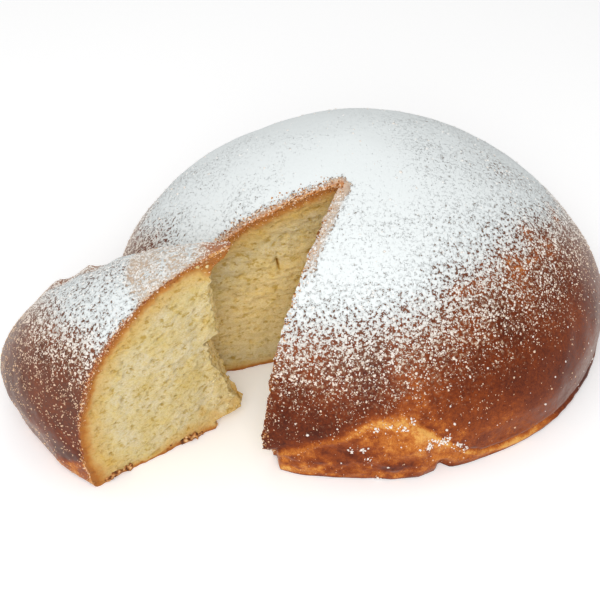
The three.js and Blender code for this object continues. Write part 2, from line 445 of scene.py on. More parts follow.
def sector_tool(name, tip, right, left, reach, seed, raised, cell):
    tool = fine_sheet(name, round(2 * reach / cell), round((TOOL_CEILING - TOOL_FLOOR) / cell))
    card = places(tool)
    along = card[:, 0] * reach
    height = tool_height((card[:, 1] + 1) / 2)
    on_left = along > 0
    relief = np.array([crumb_relief(a, h, seed) for a, h in zip(along, height)])
    if seed == CUT_SEED:
        relief = relief - DEEPEST_CRACK * crack_depths(along, height)
    relief = raised * relief * np.clip(np.abs(along) / EDGE_CALM, 0, 1)
    out = heading(np.where(on_left, left, right))
    side = np.where(on_left, 1.0, -1.0)
    across = np.column_stack([out[:, 1], -out[:, 0]]) * side[:, None]
    flat = tip + out * np.abs(along)[:, None] + across * relief[:, None]
    lay(tool, np.column_stack([flat, height]) * MM)
    pulled_out(tool, heading((right + left) / 2) * reach * PULL_SHARE)
    return tool


# %% Carving with a tool
def carve(piece, tool, operation):
    tool.data.materials.append(crumb_finish)
    carving = piece.modifiers.new("carving", "BOOLEAN")
    carving.operation = operation
    carving.object = tool
    carving.solver = "MANIFOLD"
    carving.material_mode = "TRANSFER"
    select_only(piece)
    bpy.ops.object.modifier_apply(modifier=carving.name)
    bpy.data.objects.remove(tool)
    print(piece.name, "has", triangles(piece), "triangles after carving")


# %% [markdown]
# ## Opening the loaf
#
# The crust's material goes on first. The tool brings the crumb's material, so every face that the tool
# leaves is crumb and all the others stay crust. A copy of the uncut loaf is kept for the torn strip.

# %% The cut loaf
crust_finish = bpy.data.materials.new("baked_crust")
crumb_finish = bpy.data.materials.new("soft_crumb")
loaf.data.materials.append(crust_finish)
wedge.data.materials.append(crust_finish)
strip = loaf.copy()
strip.data = loaf.data.copy()
strip.name = "torn_strip"
bpy.context.collection.objects.link(strip)
cut_tool = sector_tool("cut", CUT_TIP, RIGHT_FACE, LEFT_FACE,
                       reach=136, seed=CUT_SEED, raised=-1, cell=0.7)
carve(loaf, cut_tool, "DIFFERENCE")
slice_tool = sector_tool("slice", WEDGE_TIP, WEDGE_NEAR, WEDGE_FAR,
                         reach=150, seed=WEDGE_SEED, raised=1, cell=0.68)
carve(wedge, slice_tool, "INTERSECT")

# %% [markdown]
# ## Tearing off the wedge's tip
#
# The wedge wasn't cut to its tip. Its inner end was torn, so it is ragged: it bulges where strands held
# and it is hollow where they gave. The tear's distance from the tip is given at a few heights. A sheet
# laid on that line, roughened at three scales, is pulled inwards past the tip and taken away.

# %% The torn end
TEAR_HEIGHTS = [-12, 5.8, 7, 13, 20, 26, 32, 41, 50, 57, 58.5, 64, 79, 86, 94, 99, 102, 132]
TEAR_REACHES = [22, 21, 8, 9, 12.5, 15, 15, 19.5, 21, 21.5, 15, 16, 18.4, 17.8, 17, 12.3, 8, 7]
TEAR_HALF_WIDTH = 40.0
TEAR_PULL = 70.0


def tear_tool():
    tool = fine_sheet("tear", columns=110, rows=190)
    card = places(tool)
    side = card[:, 0] * TEAR_HALF_WIDTH
    height = tool_height((card[:, 1] + 1) / 2)
    spots = np.column_stack([side, height, np.zeros(len(side))])
    reach = np.interp(height, TEAR_HEIGHTS, TEAR_REACHES)
    reach = reach + 1.8 * rough(spots, 9, 11) + 1.6 * rough(spots * [1, 1.6, 1], 3.6, 12)
    reach = reach + 0.8 * rough(spots * [0.6, 2, 1], 1.7, 13)
    out = heading(WEDGE_MIDDLE)
    across = np.array([out[1], -out[0]])
    flat = WEDGE_TIP + out * reach[:, None] + across * side[:, None]
    lay(tool, np.column_stack([flat, height]) * MM)
    pulled_out(tool, -TEAR_PULL * out)
    return tool


carve(wedge, tear_tool(), "DIFFERENCE")

# %% [markdown]
# ## The torn strip
#
# What still holds the wedge is a piece of the loaf's own outer wall, left standing in the gap between the
# loaf's left face and the wedge. It is what the uncut loaf has in common with an upright prism. The prism
# is a sphere whose rows are laid one above the other round a six-cornered plan, and then roughened.

# %% The strip that still holds
STRIP_START = 86.0
STRIP_CORNERS = [(4, 12), (-6, 14), (-40, 4), (-40, -12), (2, -12), (5, -4), (4, 12)]
STRIP_MIDDLE = (-15, 0)


def strip_tool():
    bpy.ops.object.select_all(action="DESELECT")
    bpy.ops.mesh.primitive_uv_sphere_add(segments=160, ring_count=150, radius=1)
    tool = bpy.context.object
    tool.name = "strip_prism"
    ball = places(tool)
    height = tool_height(np.arcsin(np.clip(ball[:, 2], -1, 1)) / np.pi + 0.5)
    corners = np.array(STRIP_CORNERS, dtype=float)
    lengths = np.hypot(*np.diff(corners, axis=0).T)
    passed = np.append(0, np.cumsum(lengths)) / lengths.sum()
    turn = (np.degrees(np.arctan2(ball[:, 1], ball[:, 0])) % 360) / 360
    x = np.interp(turn, passed, corners[:, 0])
    y = np.interp(turn, passed, corners[:, 1])
    pole = np.hypot(ball[:, 0], ball[:, 1]) < 1e-6
    x = np.where(pole, STRIP_MIDDLE[0], x)
    y = np.where(pole, STRIP_MIDDLE[1], y)
    spots = np.column_stack([x, y, height])
    x = x + 1.2 * rough(spots, 8, 21) + 0.7 * rough(spots, 3, 22)
    y = y + 1.2 * rough(spots, 8, 23) + 0.7 * rough(spots, 3, 24)
    start = CUT_TIP + heading(LEFT_FACE) * STRIP_START
    lay(tool, np.column_stack([start[0] + x, start[1] + y, height]) * MM)
    edit_all(tool)
    bpy.ops.mesh.normals_make_consistent(inside=False)
    end_edit()
    return tool


carve(strip, strip_tool(), "INTERSECT")

# %% [markdown]
# ## How deep under the crust
#
# Heat browns bread from the outside in, so the colour of the cut face follows its depth under the crust.
# The outline's formula can be turned round: it gives the reach at a height and the height at a reach. The
# two distances together give the depth, and the board below counts as crust too. Under the wedge's outer
# half that bottom crust is hardly there. In the corner at its foot, and in the little tab that sticks out
# at the top of the torn end, the crust is thick, and it is a little thicker low down than higher up.

# %% Depth under the crust
def share_at(height, widest, top, foot_share, shoulder):
    low = np.clip(1 - height / widest, 0, 1)
    high = np.clip((height - widest) / (top - widest), 0, 1)
    foot = foot_share + (1 - foot_share) * (1 - low ** FOOT_ROUNDNESS) ** (1 / FOOT_ROUNDNESS)
    return np.where(height < widest, foot, (1 - high ** shoulder) ** (1 / shoulder))


def depth_under(points, reach, widest, top, foot_share, shoulder, wall_scale, board_scale):
    height = points[:, 2]
    out = np.hypot(points[:, 0], points[:, 1])
    wall = wall_scale * np.maximum(reach * share_at(height, widest, top, foot_share, shoulder) - out, 0)
    share = np.clip(out / reach, 0, 1)
    roof = widest + (top - widest) * (1 - share ** shoulder) ** (1 / shoulder) - height
    roof = np.maximum(roof, 0)
    return np.minimum(wall * roof / np.maximum(np.hypot(wall, roof), 1e-6), board_scale * height)


def loaf_depth(points):
    local, azimuth = seen_from(points, LOAF_PLACE)
    reach = LOAF_RADIUS * plan_share(azimuth)
    reach = reach + swell(local[:, 0], local[:, 1], local[:, 2]) - foot_recess(azimuth, local[:, 2])
    foot_share = FOOT_RADIUS / LOAF_RADIUS
    return 0.88 * depth_under(local, reach, WIDEST_HEIGHT, LOAF_HEIGHT, foot_share, SHOULDER, 1.0, 1.8)


def wedge_depth(points):
    local, azimuth = seen_from(points, WEDGE_TIP)
    out = np.hypot(local[:, 0], local[:, 1])
    reach, widest, shoulder, foot_share = wedge_outline(wedge_across(azimuth))
    reach = reach - wedge_tuck(azimuth, local[:, 2])
    local[:, 2] += wedge_sag(azimuth, out, local[:, 2])
    thick_foot = 1 - 0.35 * ramp(local[:, 2], 17, 9)
    thin_board = np.maximum(1.0 + 1.8 * ramp(out, 42, 56) + 1.2 * rough(local, 7, 48), 0.6)
    depth = depth_under(local, reach, widest, WEDGE_HEIGHT, foot_share, shoulder, thick_foot, thin_board)
    tab = bell(out, 17, 5) * ramp(local[:, 2], 88, 94)
    low_down = ramp(local[:, 2], 50, 25)
    return depth * (1 - 0.75 * tab) * (1 - 0.2 * low_down)


inside = np.array([[*LOAF_PLACE, LOAF_HEIGHT / 2]])
print("the loaf's middle counts as", round(float(loaf_depth(inside)[0])), "mm under the crust")

# %% [markdown]
# ## Where the sugar lies
#
# Icing sugar is shaken from above, so it lies thick on the top and thins out down the sides. Its cover is
# kept as a score: 0 where half the crust is white, and one step up or down for each step of a bell curve.
# The height where half is white is given round the bread, and the cover is closest on the middle of the
# top. Two places are rubbed thin: a band along the cut's right edge and the inner part of the wedge's top,
# where the bread was held while it was torn. Some white patches are left there, but the tab at the torn
# tip is bare. The knife has wiped the sugar off the rims of the cuts, and a few wrinkles high on the right
# hold less of it.

# %% The sugar's cover as a rule
def places_at(list_of_places, azimuth, height):
    share = np.zeros(len(height))
    for middle, level, wide, tall in list_of_places:
        share = share + bell(azimuth, middle, wide) * bell(height, level, tall)
    return share


SUGAR_AZIMUTHS = [-180, -110, -95, -85, -75, -65, -40, -30, -20, 0, 10, 20, 45, 70, 78, 88, 110, 150, 180]
SUGAR_HEIGHTS = [46, 46, 50, 60, 69, 71, 71, 69, 64, 61, 60, 57, 52, 59, 60, 48, 47, 50, 46]
WEDGE_SUGAR_AZIMUTHS = [54, 57, 63, 69, 75, 81, 87, 93, 99, 106]
WEDGE_SUGAR_HEIGHTS = [76, 70, 73, 72, 69, 68, 66, 62, 56, 50]
SUGAR_STEP = 11.4
WEDGE_SUGAR_STEP = 7.5
RUBBED_REACH = 53.0
WRINKLES = [(-68.6, 76, 2.2, 2.6), (-71, 67.5, 1.8, 2), (-90, 68, 2, 2), (-85, 66, 2, 1.6),
            (-54, 73, 2, 3.6), (-33, 75, 2, 1.2), (-39, 74, 2, 1.2), (-62, 70.5, 4, 1)]


def face_distance(points, tip, azimuth):
    away = points[:, :2] - tip
    out = heading(azimuth)
    return away[:, 0] * out[1] - away[:, 1] * out[0], away @ out


# %% The sugar on the loaf
def loaf_sugar(points):
    local, azimuth = seen_from(points, LOAF_PLACE)
    behind = ramp(np.abs(azimuth), 95, 125)
    half = np.interp(azimuth, SUGAR_AZIMUTHS, SUGAR_HEIGHTS) + 14 * behind * rough(local, 42, 35)
    score = (local[:, 2] - half) / SUGAR_STEP
    across = local[:, 0] + 26 * rough(local, 24, 36) + 0.25 * local[:, 1]
    clean = ramp(across, 50, -6) * ramp(across, -86, -40)
    most = 2.0 + 1.2 * rough(local, 30, 31) + 0.9 * clean
    from_right, along_right = face_distance(points, CUT_TIP, RIGHT_FACE)
    from_left, along_left = face_distance(points, CUT_TIP, LEFT_FACE)
    edge = ramp(np.abs(from_left), 8, 1.5) * (along_left > -4)
    bare = ramp(np.abs(from_left) + 0.6 * rough(local, 2, 38), 1.8, 0.6) * (along_left > -2)
    rubbed = ramp(np.abs(from_right), 7.5, 3.5) * ramp(along_right, 48, 38) * (along_right > -3)
    veil = np.maximum(0.95 * rubbed, 0.65 * edge) * (1 - bare)
    score = np.minimum(score * np.where(score > 0, 1.15, 1), most)
    score = score - 2.3 * rubbed - 3 * edge - 2 * bare - 0.7 * places_at(WRINKLES, azimuth, local[:, 2])
    return score, veil


# %% The sugar on the wedge
def wedge_sugar(points):
    local, azimuth = seen_from(points, WEDGE_TIP)
    out = np.hypot(local[:, 0], local[:, 1])
    half = np.interp(azimuth, WEDGE_SUGAR_AZIMUTHS, WEDGE_SUGAR_HEIGHTS)
    score = (local[:, 2] - half) / WEDGE_SUGAR_STEP
    most = 1.6 + 1.0 * rough(local, 24, 33)
    wander = 1.5 * rough(local, 9, 34)
    rubbed = ramp(out + wander, RUBBED_REACH + 2.5, RUBBED_REACH - 2.5)
    from_near = face_distance(points, WEDGE_TIP, WEDGE_NEAR)[0]
    shoulder = ramp(azimuth + 0.6 * wander, 97, 101) * ramp(out + 2 * wander, 66, 76)
    shoulder = np.maximum(shoulder, ramp(azimuth, 96, 99) * bell(out, 78, 3.5))
    edge = np.maximum(ramp(np.abs(from_near), 4.5, 0.5), shoulder)
    bare = ramp(np.abs(from_near) + 0.5 * rough(local, 2, 38), 1.9, 1.0)
    bare = np.maximum(bare, 0.8 * ramp(out + wander, 24, 15))
    kept = 0.5 * ramp(rough(local, 5, 39), 0.1, 0.35)
    score = np.minimum(score, most) - 1.5 * rubbed * (1 - kept) - 1.5 * edge - 1.5 * bare
    on_top = np.maximum(rubbed, 0.4 * edge) * ramp(local[:, 2], 60, 80) * (1 - bare)
    return score, np.maximum(on_top, 0.06 * ramp(local[:, 2], 20, 45))


# %% [markdown]
# ## How dark the crust is
#
# The crust is darkest on the flanks, where the oven's heat reached it best. It is golden under the torn
# seam at the foot, where it opened late, and paler in the wrinkles, along the rims of the cuts and on the
# tab at the torn tip. Single scorched and pale places are listed with their azimuth, height and size. The
# share of full brown is written on the mesh, and the finish reads it.

# %% The bake as a rule
SCORCHES = [(-1.7, 16, 2.2, 2.6), (-10, 9.5, 3.0, 2.6), (-18, 28.6, 1.0, 1.2), (-45, 1.5, 1.6, 1.2)]
PALE_PLACES = [(-15.6, 26.5, 1.6, 3.2), (-23, 7, 2.6, 3), (12, 3.5, 4, 1.6), (-38, 3, 5, 1.6)]


def mottling(local):
    return rough(local, 5, 46) + 0.6 * rough(local, 2.2, 47)


def loaf_bake(points):
    local, azimuth = seen_from(points, LOAF_PLACE)
    height = local[:, 2]
    above = height - seam_height(azimuth) + 1.2 * rough(local, 6, 41)
    front = front_share(azimuth) * ramp(azimuth, -54, -42) * (1 - 0.3 * ramp(azimuth, -20, -24))
    gold = ramp(above, 1.2, -1.6) * front
    mottled = mottling(local)
    fold = bell(above, -2.2, 1.0) * front
    lip = bell(above, 1, 2.5) * (0.2 + 0.8 * ramp(azimuth, 4, -8))
    lip = np.maximum(lip, bell(above, 4, 13) * ramp(azimuth, -5, -14) * ramp(azimuth, -52, -30))
    wrinkled = places_at(WRINKLES, azimuth, height) * (1 + 2 * rough(local, 2.6, 37))
    from_left, along_left = face_distance(points, CUT_TIP, LEFT_FACE)
    cut_rim = ramp(np.abs(from_left), 3.5, 1) * (along_left > -2)
    bake = 0.82 + 0.16 * rough(local, 26, 42) + gold * (0.32 * mottled - 0.34) - 0.6 * cut_rim
    bake = bake - (0.24 + 0.4 * mottled) * fold - 0.3 * wrinkled
    bake = bake - 0.24 * (1 + 1.3 * mottled) * lip * front
    bake = bake - 0.1 * bell(azimuth, -42, 12) * bell(height, 22, 14)
    bake = bake + 0.34 * places_at(SCORCHES, azimuth, height)
    bake = bake - 0.22 * places_at(PALE_PLACES, azimuth, height)
    # The crust is made darker in its lowest millimetre.
    return np.clip(bake + 0.35 * ramp(height, 1.3, 0.3), 0, 1)


WEDGE_FOOT_AZIMUTHS = [54, 60, 66, 74, 90]
WEDGE_FOOT_HEIGHTS = [19, 15, 10, 5, 3]


def from_wedge_tip(points):
    return np.hypot(*(points[:, :2] - WEDGE_TIP).T)


def wedge_bake(points):
    local, azimuth = seen_from(points, WEDGE_TIP)
    height = local[:, 2] + 2.2 * rough(local, 6, 45)
    foot_top = np.interp(azimuth, WEDGE_FOOT_AZIMUTHS, WEDGE_FOOT_HEIGHTS)
    foot = ramp(height, foot_top + 1.5, foot_top - 2)
    scorched = bell(azimuth, 62, 1.6) * bell(height, 17, 2)
    # The crust is made darker in its lowest two millimetres.
    board = ramp(height, 2.4, 0.6)
    fold = ramp(azimuth + rough(local, 9, 34), 97, 101) * ramp(local[:, 2], 30, 50)
    cut_rim = ramp(np.abs(face_distance(points, WEDGE_TIP, WEDGE_NEAR)[0]), 2.4, 0.8)
    tab = ramp(from_wedge_tip(points), 26, 16)
    bake = 0.86 + 0.14 * rough(local, 20, 44) + foot * (0.3 * mottling(local) - 0.48)
    bake = bake - 0.35 * fold - 0.35 * cut_rim - 0.45 * tab
    return np.clip(bake + 0.5 * scorched + 0.35 * board, 0, 1)


print("single places in the bake:", len(SCORCHES), "scorched and", len(PALE_PLACES), "pale")

# %% [markdown]
# ## Writing the rules on the meshes
#
# Each rule is worked out at every vertex and stored as a named attribute, which a shader can read. The
# pores are worked out again from the place on the face, so that their floors can get painted shade. The
# middle of the loaf's left face and the wedge's torn end stand in shade, so their crumb gets painted light,
# which is one more share. The edge where crust meets crumb is marked sharp and all the rest is smooth.

# %% Pores and paler crumb as rules
FACE_BAND = 6.0
CRACK_BAND = 5.0


def face_pores(points, tip, right, left, seed):
    from_right, along_right = face_distance(points, tip, right)
    from_left, along_left = face_distance(points, tip, left)
    nearer = np.abs(from_left) < np.abs(from_right)
    along = np.where(nearer, along_left, -along_right)
    on_face = np.minimum(np.abs(from_left), np.abs(from_right)) < FACE_BAND
    pores = [pore_depth(a, h, seed) if on else 0.0 for a, h, on in zip(along, points[:, 2], on_face)]
    return np.array(pores)


# The crack adds to the pore share, so it too is painted darker in the crumb: painted shade.
def cut_pores(points):
    from_left, along_left = face_distance(points, CUT_TIP, LEFT_FACE)
    crack = crack_depths(along_left, points[:, 2]) * (np.abs(from_left) < CRACK_BAND)
    return face_pores(points, CUT_TIP, RIGHT_FACE, LEFT_FACE, CUT_SEED) + 2.5 * crack


def wedge_pores(points):
    return face_pores(points, WEDGE_TIP, WEDGE_NEAR, WEDGE_FAR, WEDGE_SEED)


# The loaf's left face stands in shade inside the cut; its crumb is painted lighter, more so deep in and
# high up: painted light.
def cut_painted_light(points, under):
    from_left = face_distance(points, CUT_TIP, LEFT_FACE)[0]
    high_up = 0.55 + 0.45 * ramp(points[:, 2], 8, 45)
    return ramp(np.abs(from_left), 8, 3) * high_up * ramp(under, 6, 30)


# The wedge's torn end stands in shade; its crumb is painted lighter: painted light.
def wedge_painted_light(points, under):
    from_near = face_distance(points, WEDGE_TIP, WEDGE_NEAR)[0]
    torn = ramp(from_wedge_tip(points), 30, 22)
    return torn * (0.2 + 0.8 * ramp(np.abs(from_near), 0.5, 3.5))


# %% A sharp rim on a smooth skin
def sharpen_rim(piece):
    mesh = piece.data
    mesh.shade_smooth()
    finish = np.empty(len(mesh.polygons), dtype=int)
    mesh.polygons.foreach_get("material_index", finish)
    edge_of = np.empty(len(mesh.loops), dtype=int)
    mesh.loops.foreach_get("edge_index", edge_of)
    corners = np.empty(len(mesh.polygons), dtype=int)
    mesh.polygons.foreach_get("loop_total", corners)
    finish_of_loop = np.repeat(finish, corners)
    crust = np.bincount(edge_of, finish_of_loop == 0, len(mesh.edges)) > 0
    crumb = np.bincount(edge_of, finish_of_loop == 1, len(mesh.edges)) > 0
    mesh.edges.foreach_set("use_edge_sharp", crust & crumb)


# %% Attributes on the bread
def write(piece, name, values):
    layer = piece.data.attributes.new(name, "FLOAT", "POINT")
    layer.data.foreach_set("value", np.ascontiguousarray(values, dtype=np.float32))


def dress(piece, depth, sugar, bake, pores, pale):
    points = places(piece) / MM
    score, veil = sugar(points)
    under = depth(points)
    write(piece, "depth", under)
    write(piece, "sugar", np.clip(score, -4, 4))
    write(piece, "veil", veil)
    write(piece, "bake", bake(points))
    write(piece, "pore", pores(points))
    # The pale share is painted light on crumb that stands in shade.
    write(piece, "pale", pale(points, under))
    sharpen_rim(piece)
    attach(piece, "root")
    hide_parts("loaf")
    print(piece.name, "is dressed, sugar from", round(score.min(), 1), "to", round(score.max(), 1))


dress(loaf, loaf_depth, loaf_sugar, loaf_bake, cut_pores, cut_painted_light)
dress(wedge, wedge_depth, wedge_sugar, wedge_bake, wedge_pores, wedge_painted_light)
dress(strip, loaf_depth, loaf_sugar, loaf_bake, cut_pores, cut_painted_light)

# %% [markdown]
# ## Small helpers for the finishes
#
# A finish is a chain of shader nodes. These helpers add a node, link what it reads and hand back what it
# gives, so that a finish reads like a recipe. Colours are given as red, green and blue from 0 to 255.

# %% Nodes for numbers and colours
def begin(finish, roughness, shine):
    finish.use_nodes = True
    finish.node_tree.nodes.clear()
    output = finish.node_tree.nodes.new("ShaderNodeOutputMaterial")
    skin = finish.node_tree.nodes.new("ShaderNodeBsdfPrincipled")
    finish.node_tree.links.new(skin.outputs["BSDF"], output.inputs["Surface"])
    skin.inputs["Roughness"].default_value = roughness
    skin.inputs["Specular IOR Level"].default_value = shine
    return skin


def feed(finish, socket, source):
    if isinstance(source, bpy.types.NodeSocket):
        finish.node_tree.links.new(source, socket)
    else:
        socket.default_value = source


def math_of(finish, operation, first, second=0.0, third=0.0):
    node = finish.node_tree.nodes.new("ShaderNodeMath")
    node.operation = operation
    for socket, source in zip(node.inputs, (first, second, third)):
        feed(finish, socket, source)
    return node.outputs[0]


def blend_of(finish, share, first, second, kind="MIX"):
    node = finish.node_tree.nodes.new("ShaderNodeMix")
    node.data_type = "RGBA"
    node.blend_type = kind
    feed(finish, node.inputs[0], share)
    feed(finish, node.inputs[6], first)
    feed(finish, node.inputs[7], second)
    return node.outputs[2]


def span_of(finish, value, low, high, to_low=0.0, to_high=1.0):
    node = finish.node_tree.nodes.new("ShaderNodeMapRange")
    node.interpolation_type = "SMOOTHSTEP"
    for name, source in zip(("Value", "From Min", "From Max", "To Min", "To Max"),
                            (value, low, high, to_low, to_high)):
        feed(finish, node.inputs[name], source)
    return node.outputs[0]


def paint(red, green, blue):
    def linear(level):
        level = level / 255
        return level / 12.92 if level <= 0.04045 else ((level + 0.055) / 1.055) ** 2.4
    return (linear(red), linear(green), linear(blue), 1)


# %% Nodes for patterns
def attribute_of(finish, name):
    node = finish.node_tree.nodes.new("ShaderNodeAttribute")
    node.attribute_name = name
    return node.outputs["Fac"]


def noise_of(finish, size_mm, detail=2.0, roughness=0.5, stretch=(1, 1, 1)):
    nodes = finish.node_tree.nodes
    place = nodes.new("ShaderNodeTexCoord").outputs["Object"]
    scaling = nodes.new("ShaderNodeMapping")
    feed(finish, scaling.inputs["Vector"], place)
    scaling.inputs["Scale"].default_value = stretch
    node = nodes.new("ShaderNodeTexNoise")
    feed(finish, node.inputs["Vector"], scaling.outputs[0])
    node.inputs["Scale"].default_value = 1 / (size_mm * MM)
    node.inputs["Detail"].default_value = detail
    node.inputs["Roughness"].default_value = roughness
    return node.outputs["Fac"]


def swing_of(finish, size_mm, detail=2.0, roughness=0.5):
    return math_of(finish, "SUBTRACT", noise_of(finish, size_mm, detail, roughness), 0.5)


def colour_ramp(finish, value, stops):
    node = finish.node_tree.nodes.new("ShaderNodeValToRGB")
    feed(finish, node.inputs[0], value)
    ramp_points = node.color_ramp.elements
    while len(ramp_points) < len(stops):
        ramp_points.new(1.0)
    for point, (place, colour) in zip(ramp_points, stops):
        point.position = place
        point.color = paint(*colour)
    return node.outputs[0]


def bumps(finish, height, deep_mm):
    node = finish.node_tree.nodes.new("ShaderNodeBump")
    node.inputs["Distance"].default_value = deep_mm * MM
    node.inputs["Strength"].default_value = 1.0
    feed(finish, node.inputs["Height"], height)
    return node.outputs[0]


# %% [markdown]
# ## The crust and its sugar
#
# Crust goes from gold over chestnut to dark brown with the bake. The sugar on it is the same noise cut at
# different levels: where the score is high nearly all of it is white, at 0 it breaks into crooked clumps
# a millimetre wide, and lower down only dots are left. Where the cover is thick, the gaps in it are finer.
# A thin veil lies where it was rubbed. Dust lies round the clumps, and the gaps between them are greyed,
# partly by dust and partly as painted shade. A painted sheen greys the bare crust where it is seen at a
# slant.

# %% The crust's brown
CRUST_BROWNS = [
    (0.0, (224, 166, 86)), (0.25, (190, 110, 42)), (0.5, (144, 68, 22)),
    (0.78, (104, 42, 14)), (1.0, (70, 25, 9)),
]


def brown_tone(finish, bake, grain, fleck):
    tone = math_of(finish, "MULTIPLY_ADD", swing_of(finish, 12, 3.0), 0.36, bake)
    tone = math_of(finish, "MULTIPLY_ADD", grain, 0.6, tone)
    return math_of(finish, "MULTIPLY_ADD", fleck, 0.5, tone)


# %% Clumps, veil, dust and a painted sheen
def sugar_clumps(finish, score, fleck):
    coarse_share = span_of(finish, score, 1.0, 2.6, 1.0, 0.6)
    fine_share = span_of(finish, score, 1.0, 2.6, 0.34, 0.6)
    clumps = math_of(finish, "MULTIPLY", swing_of(finish, 1.55, 2.0, 0.6), coarse_share)
    clumps = math_of(finish, "MULTIPLY_ADD", score, 0.1, clumps)
    return math_of(finish, "MULTIPLY_ADD", fleck, fine_share, clumps)


def thin_veil(finish, score, grain):
    patchy = span_of(finish, grain, -0.25, 0.2, 0.5, 0.82)
    veil = math_of(finish, "MULTIPLY", attribute_of(finish, "veil"), patchy)
    return math_of(finish, "MAXIMUM", veil, span_of(finish, score, 0.6, 3.2, 0.0, 0.35))


def dust_round(finish, clumps, score):
    near_clumps = span_of(finish, clumps, -0.16, 0.04, 0.0, 0.34)
    return math_of(finish, "MULTIPLY", near_clumps, span_of(finish, score, 1.4, 0.2))


# A painted sheen: the crust's colour is blended towards grey where it is seen at a slant, where a
# reflection of the bright sky would lie.
def painted_slant_sheen(finish, tone, grain):
    facing = finish.node_tree.nodes.new("ShaderNodeLayerWeight").outputs["Facing"]
    slanting = span_of(finish, facing, 0.45, 0.95, 0.0, 0.8)
    sheen = math_of(finish, "MULTIPLY", slanting, span_of(finish, tone, 0.3, 0.8, 0.1, 1.0))
    return math_of(finish, "MULTIPLY", sheen, span_of(finish, grain, -0.2, 0.2, 0.4, 1.0))


# %% The crust's finish
SUGAR_WHITE = (230, 235, 235)
THIN_SUGAR = (228, 194, 162)
# The grey of the gaps between thick clumps is partly dust and partly painted shade.
SHADED_DUSTY_GAPS = (104, 92, 76)
DUSTED_CRUST = (184, 146, 116)
# The sheen grey is a painted sheen, not a colour of the crust.
PAINTED_SHEEN_GREY = (176, 156, 146)
VEILED_CRUST = (232, 213, 190)


def finish_crust(finish):
    skin = begin(finish, roughness=0.45, shine=0.14)
    bake = attribute_of(finish, "bake")
    score = attribute_of(finish, "sugar")
    grain = swing_of(finish, 1.7, 3.0, 0.65)
    fleck = swing_of(finish, 0.55, 2.0, 0.6)
    tone = brown_tone(finish, bake, grain, fleck)
    clumps = sugar_clumps(finish, score, fleck)
    cover = span_of(finish, clumps, 0.02, 0.058)
    thin = thin_veil(finish, score, grain)
    colour = colour_ramp(finish, tone, CRUST_BROWNS)
    for share, shade in [
        # gaps between clumps: dust and painted shade
        (span_of(finish, score, 0.3, 2.2, 0.0, 0.7), SHADED_DUSTY_GAPS),
        (dust_round(finish, clumps, score), DUSTED_CRUST),
        # painted sheen at a slant
        (painted_slant_sheen(finish, tone, grain), PAINTED_SHEEN_GREY),
        (thin, VEILED_CRUST),
    ]:
        colour = blend_of(finish, share, colour, paint(*shade))
    sugar = blend_of(finish, span_of(finish, score, -1.8, 1.5), paint(*THIN_SUGAR), paint(*SUGAR_WHITE))
    feed(finish, skin.inputs["Base Color"], blend_of(finish, cover, colour, sugar))
    white = math_of(finish, "MAXIMUM", cover, thin)
    feed(finish, skin.inputs["Roughness"], math_of(finish, "MULTIPLY_ADD", white, 0.45, 0.45))
    torn = span_of(finish, bake, 0.75, 0.45, 0.3, 1.4)
    relief = math_of(finish, "MULTIPLY_ADD", grain, torn, span_of(finish, clumps, -0.05, 0.2))
    feed(finish, skin.inputs["Normal"], bumps(finish, relief, 0.5))


finish_crust(crust_finish)
print("the crust's finish has", len(crust_finish.node_tree.nodes), "nodes")

# %% [markdown]
# ## The crumb
#
# Just under the crust the crumb is brown, then orange, then straw, and after a few millimetres it has its
# own pale egg yellow. It stays a little warmer near the crust, and slow patches of it are richer. Pore
# floors, pits and the hollows of the fine texture are a little darker and greener: painted shade. Light
# travels some way into crumb, so a little of it is let in.

# %% The crumb's finish
CRUMB_PALE = (210, 197, 162)
CRUMB_RICH = (208, 190, 138)
CRUMB_LIT = (242, 220, 164)
CRUMB_BROWNS = [
    (0.0, (158, 102, 54)), (0.24, (168, 104, 44)), (0.5, (186, 132, 66)), (0.92, (204, 168, 108)),
]


def finish_crumb(finish):
    skin = begin(finish, roughness=0.85, shine=0.2)
    depth = attribute_of(finish, "depth")
    pore = attribute_of(finish, "pore")
    toast = math_of(finish, "MULTIPLY_ADD", swing_of(finish, 3), 2.8, depth)
    rich = span_of(finish, noise_of(finish, 16), 0.35, 0.7)
    patches = span_of(finish, noise_of(finish, 4.5, 3.0, 0.6), 0.46, 0.66)
    pits = noise_of(finish, 3.2, 3.0, 0.6, (1, 1, 1.5))
    fine = noise_of(finish, 0.9, 3.0, 0.6, (1, 1, 1.7))
    crumb = blend_of(finish, rich, paint(*CRUMB_PALE), paint(*CRUMB_RICH))
    # Shaded crumb is lifted towards the lit colour: painted light.
    crumb = blend_of(finish, attribute_of(finish, "pale"), crumb, paint(*CRUMB_LIT))
    for share, tint_and_shade in [
        (span_of(finish, depth, 13, 4), (250, 230, 192)),
        (patches, (255, 250, 228)),
        # Pits, the fine texture's hollows and pore floors are made darker here: painted shade.
        (span_of(finish, pits, 0.46, 0.32), (222, 208, 160)),
        (span_of(finish, fine, 0.6, 0.32), (242, 234, 214)),
        (pore, (214, 196, 140)),
        (span_of(finish, pore, 1.0, 2.0), (170, 130, 80)),
    ]:
        crumb = blend_of(finish, share, crumb, paint(*tint_and_shade), "MULTIPLY")
    browned = colour_ramp(finish, math_of(finish, "MULTIPLY", toast, 0.2), CRUMB_BROWNS)
    inner = span_of(finish, toast, 2.4, 6.0)
    feed(finish, skin.inputs["Base Color"], blend_of(finish, inner, browned, crumb))
    skin.inputs["Subsurface Weight"].default_value = 0.2
    skin.inputs["Subsurface Radius"].default_value = (1.0, 0.7, 0.35)
    skin.inputs["Subsurface Scale"].default_value = 1.5 * MM
    relief = math_of(finish, "MULTIPLY_ADD", fine, 0.3, pits)
    feed(finish, skin.inputs["Normal"], bumps(finish, relief, 0.8))


